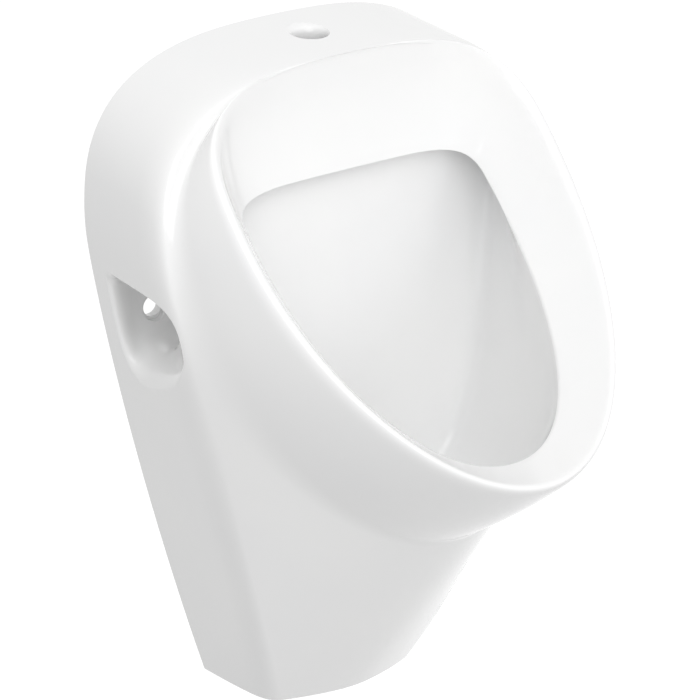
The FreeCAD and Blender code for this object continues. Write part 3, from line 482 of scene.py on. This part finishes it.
# The hollow behind the bowl and above the trap: the shell's inside, kept where it is behind the bowl's
# back wall or below its floor, less what stands in it.
def makeHollow():
    c = ceramic
    inner = [ringPoints(c[name], -c["wall"], -c["wall"])
             for name in ("wallRing", "shellRing", "creaseRing")] + [ringPoints(c["closingRing"])]
    rows = skinRows(inner, (c["shellRound"], c["creaseCrisp"]), c["hollowRows"])
    hollow = closedMesh("hollow", curveRows(rows, c["hollowSpan"]))
    behind = boxSolid("behind", (-boxEnds["side"], c["wall"] - c["bowlBack"], -boxEnds["bottom"]),
                      (boxEnds["side"], boxEnds["back"], boxEnds["top"]))
    below = boxSolid("below", (-boxEnds["side"], -boxEnds["front"], -boxEnds["bottom"]),
                     (boxEnds["side"], c["wall"], c["bowlFloor"] - c["wall"]))
    combine(hollow, [combine(behind, [below], "UNION")], "INTERSECT")
    standing = [
        boxSolid("block", (-c["chamberHalfWidth"] - c["wall"], -c["bowlBack"],
                           c["chamberBottom"] - c["wall"]),
                 (c["chamberHalfWidth"] + c["wall"], c["wall"] - c["chamberBack"],
                  c["chamberTop"] + c["wall"])),
        bar("boss", (0, -c["drainDepth"], c["seatLevel"] - c["seatThickness"]), up,
            c["seatThickness"], c["bossRadius"])]
    for side in (-1, 1):
        flange = bar("flange", (side * c["fixingReach"], -c["flangeDepth"], c["fixingLevel"]), toWall,
                     c["flangeDepth"] + c["flangePast"], c["flangeRadius"])
        standing += [makeLiner(side), flange]
    return combine(hollow, standing, "DIFFERENCE")


# One recess in the shell's side: from its mouth outside the shell, over its edge, to a rounded end.
def makeRecess(side):
    c = ceramic
    rings = [edgePoints(side, c["recessFlare"], reach=c["cutterReach"]),
             edgePoints(side, c["recessFlare"], c["recessLift"]), edgePoints(side),
             sidePoints(side, c["scoopThroat"]), sidePoints(side, c["recessScoop"]),
             sidePoints(side, c["recessScoop"], -c["scoopRound"])]
    rounds = (c["cutterRound"], edgeLengths(), c["scoopRound"], c["scoopRound"])
    rows = skinRows(rings, rounds, c["scoopRows"])
    return closedMesh("recess", curveRows(rows, c["scoopSpan"]), flipped=side > 0)


# All that is cut through the ceramic: the flush's way, the drain, the recesses with their fixing
# holes, and what the rings draw below the skirt.
def makeOpenings():
    c = ceramic
    openings = [
        boxSolid("chamber", (-c["chamberHalfWidth"], c["wall"] - c["bowlBack"], c["chamberBottom"]),
                 (c["chamberHalfWidth"], -c["chamberBack"], c["chamberTop"])),
        turnedSolid("inlet", (0, -c["inletDepth"], 0), up,
                    [(level, c["inletRadius"] + wider) for level, wider in c["inletEdge"]]),
        bar("nozzle", (0, -c["bowlBack"] - c["nozzlePast"], c["nozzleLevel"]), toWall,
            c["wall"] + 2 * c["nozzlePast"], c["nozzleRadius"]),
        bar("drain", (0, -c["drainDepth"], c["drainBottom"]), up, c["drainTop"] - c["drainBottom"],
            c["drainRadius"]),
        bar("seat", (0, -c["drainDepth"], c["seatLevel"]), up, c["seatClear"], c["seatRadius"]),
        boxSolid("belowSkirt", (-boxEnds["side"], -boxEnds["front"], -boxEnds["deep"]),
                 (boxEnds["side"], boxEnds["back"], 0))]
    for side in (-1, 1):
        start = (side * c["fixingReach"], -c["flangeDepth"], c["fixingLevel"])
        openings += [
            makeRecess(side),
            bar("padBore", start, toWall, c["flangeDepth"] - c["padDepth"], c["padBoreRadius"]),
            bar("fixing", start, toWall, c["flangeDepth"] + c["fixingPast"], c["fixingRadius"])]
    return openings


# The ceramic body: the skin from the wall over the shell, the crease, the rim and the opening into the
# bowl and up to its back wall, less the hollow and the openings.
def makeCeramic():
    c = ceramic
    names = ("wallRing", "shellRing", "creaseRing", "rimRing", "openingRing", "backRing")
    wall, shell, crease, rim, opening, back = [ringPoints(c[name]) for name in names]
    rings = [wall, shell, crease, rim, opening, back, ringPoints(c["backRing"], -c["backMargin"])]
    rounds = (c["shellRound"], creaseLengths(crease), c["rimRound"], c["openingRound"],
              c["bowlRound"])
    guides = {3: bowedRow(crease, rim, awayFromBowl(crease, rim), c["flankSwell"]),
              4: bowedRow(rim, opening, np.array(toWall), c["faceHollow"]),
              5: ringPoints(c["bowlRing"])}
    rows = skinRows(rings, rounds, c["rowsPerPart"], guides)
    body = closedMesh("ceramicBody", curveRows(rows, c["pointsPerSpan"]))
    combine(body, [makeHollow()], "DIFFERENCE")
    combine(body, makeOpenings(), "DIFFERENCE")
    body.data.shade_smooth()
    body.data.set_sharp_from_angle(angle=math.radians(c["sharpAngle"]))
    body.data.materials.clear()
    body.data.materials.append(glaze)
    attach(body, "body")
    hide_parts("ceramic_body")
    return body


ceramicBody = makeCeramic()
print("ceramic body:", len(ceramicBody.data.polygons), "faces")


# The plumbing keeps its CAD shape and gets the finish of each material.
finishes = {
    "strainer": "chromePlate", "spreader": "chromePlate",
    "waste_outlet": "whitePlastic", "trap_bend": "whitePlastic", "trap_arm": "whitePlastic",
    "cleaning_plug": "greyPlastic", "clamp_nut": "greyPlastic", "tail_nut": "greyPlastic",
    "union_nut": "greyPlastic",
    "flange_seal": "blackRubber", "clamp_washer": "blackRubber", "tail_washer": "blackRubber",
    "plug_seal": "blackRubber", "union_washer": "blackRubber", "spreader_seal": "blackRubber",
}
for name, finish in finishes.items():
    for slot in nodes[name].material_slots:
        slot.material = plumbing[finish]
for slot in nodes["ceramic_body"].material_slots:
    slot.material = glaze
print("plumbing finished")


# The white studio, in metres, degrees and watts, and the camera as it was fitted to the photograph,
# with its focal length and centre in pixels.
studio = {
    "floorLevel": -0.75, "floorSize": 8.0, "floorColour": (0.5, 0.5, 0.5), "floorGlow": 0.72,
    "white": (1, 1, 1, 1), "worldLight": 0.66, "worldSeen": 1.0,
    # place, what it points at, size, watts, and whether the glaze mirrors it
    "lamps": (((-1.3, -2.4, 1.7), (0, -0.15, -0.1), 2.4, 37, True),
              ((0.1, -0.8, 2.2), (0, -0.1, 0), 1.6, 6, True),
              ((0.6, -2.5, -0.2), (0, -0.15, -0.2), 1.0, 7, False)),
    "target": (0, -0.1355, -0.0565), "turn": -38, "height": 22, "distance": 2.71,
    "focal": 3678, "centre": (387.6, 390.8), "imageSize": 700, "sensorWidth": 36,
}


# 1 for rays from the camera and for those that a glossy or clear surface sends on, 0 for diffuse ones.
def seenRays(shader):
    camera, glossy, through = [
        shader.node("ShaderNodeLightPath", output=name)
        for name in ("Is Camera Ray", "Is Glossy Ray", "Is Transmission Ray")]
    return shader.node("ShaderNodeMath", {"operation": "ADD", "use_clamp": True},
                       {0: camera + glossy, 1: through})


# An even white world, brighter where it is seen than where it lights.
def makeWorld():
    world = bpy.data.worlds.new("studioWorld")
    bpy.context.scene.world = world
    shader = Shader(world)
    strength = studio["worldLight"] + seenRays(shader) * (studio["worldSeen"] - studio["worldLight"])
    light = shader.node("ShaderNodeBackground", None, {"Color": studio["white"], "Strength": strength})
    shader.node("ShaderNodeOutputWorld", None, {"Surface": light})


# A grey floor that glows only where it is seen, so that it looks white and lights the part less.
def makeFloor():
    half, level = studio["floorSize"] / 2, studio["floorLevel"]
    mesh = bpy.data.meshes.new("floor")
    mesh.from_pydata([(-half, -half, level), (half, -half, level), (half, half, level),
                      (-half, half, level)], [], [(0, 1, 2, 3)])
    floor = bpy.data.objects.new("floor", mesh)
    bpy.context.scene.collection.objects.link(floor)
    shader = Shader(bpy.data.materials.new("paleFloor"))
    matt = shader.node("ShaderNodeBsdfDiffuse", None, {"Color": (*studio["floorColour"], 1)})
    glow = shader.node("ShaderNodeEmission", None, {"Color": studio["white"],
                                                    "Strength": seenRays(shader) * studio["floorGlow"]})
    both = shader.node("ShaderNodeAddShader", None, {0: matt, 1: glow})
    shader.node("ShaderNodeOutputMaterial", None, {"Surface": both})
    mesh.materials.append(shader.owner)


# Turns a lamp or a camera, which look along their own -Z, to a target.
def aim(thing, target):
    direction = Vector(target) - thing.location
    thing.rotation_euler = direction.to_track_quat("-Z", "Y").to_euler()


# Square soft lamps, each aimed at its target.
def makeLamps():
    for number, (place, target, size, watts, mirrored) in enumerate(studio["lamps"]):
        lamp = bpy.data.lights.new("softLamp%d" % number, "AREA")
        lamp.size = size
        lamp.energy = watts
        thing = bpy.data.objects.new("softLamp%d" % number, lamp)
        thing.location = place
        thing.visible_glossy = mirrored
        bpy.context.scene.collection.objects.link(thing)
        aim(thing, target)


# The camera stands back from its target by the distance, turned and raised by its angles, and its lens
# is shifted by how far the photograph's centre lies from the middle of the picture.
def makeCamera():
    turn, height = math.radians(studio["turn"]), math.radians(studio["height"])
    back = Vector((math.sin(turn) * math.cos(height), -math.cos(turn) * math.cos(height),
                   math.sin(height)))
    lens = bpy.data.cameras.new("photoCamera")
    lens.sensor_width = studio["sensorWidth"]
    lens.lens = studio["focal"] * studio["sensorWidth"] / studio["imageSize"]
    lens.shift_x = 0.5 - studio["centre"][0] / studio["imageSize"]
    lens.shift_y = studio["centre"][1] / studio["imageSize"] - 0.5
    camera = bpy.data.objects.new("photoCamera", lens)
    camera.location = Vector(studio["target"]) + back * studio["distance"]
    bpy.context.scene.collection.objects.link(camera)
    aim(camera, studio["target"])
    bpy.context.scene.camera = camera


makeWorld()
makeFloor()
makeLamps()
makeCamera()
bpy.context.scene.view_settings.view_transform = "Standard"
print("studio ready")
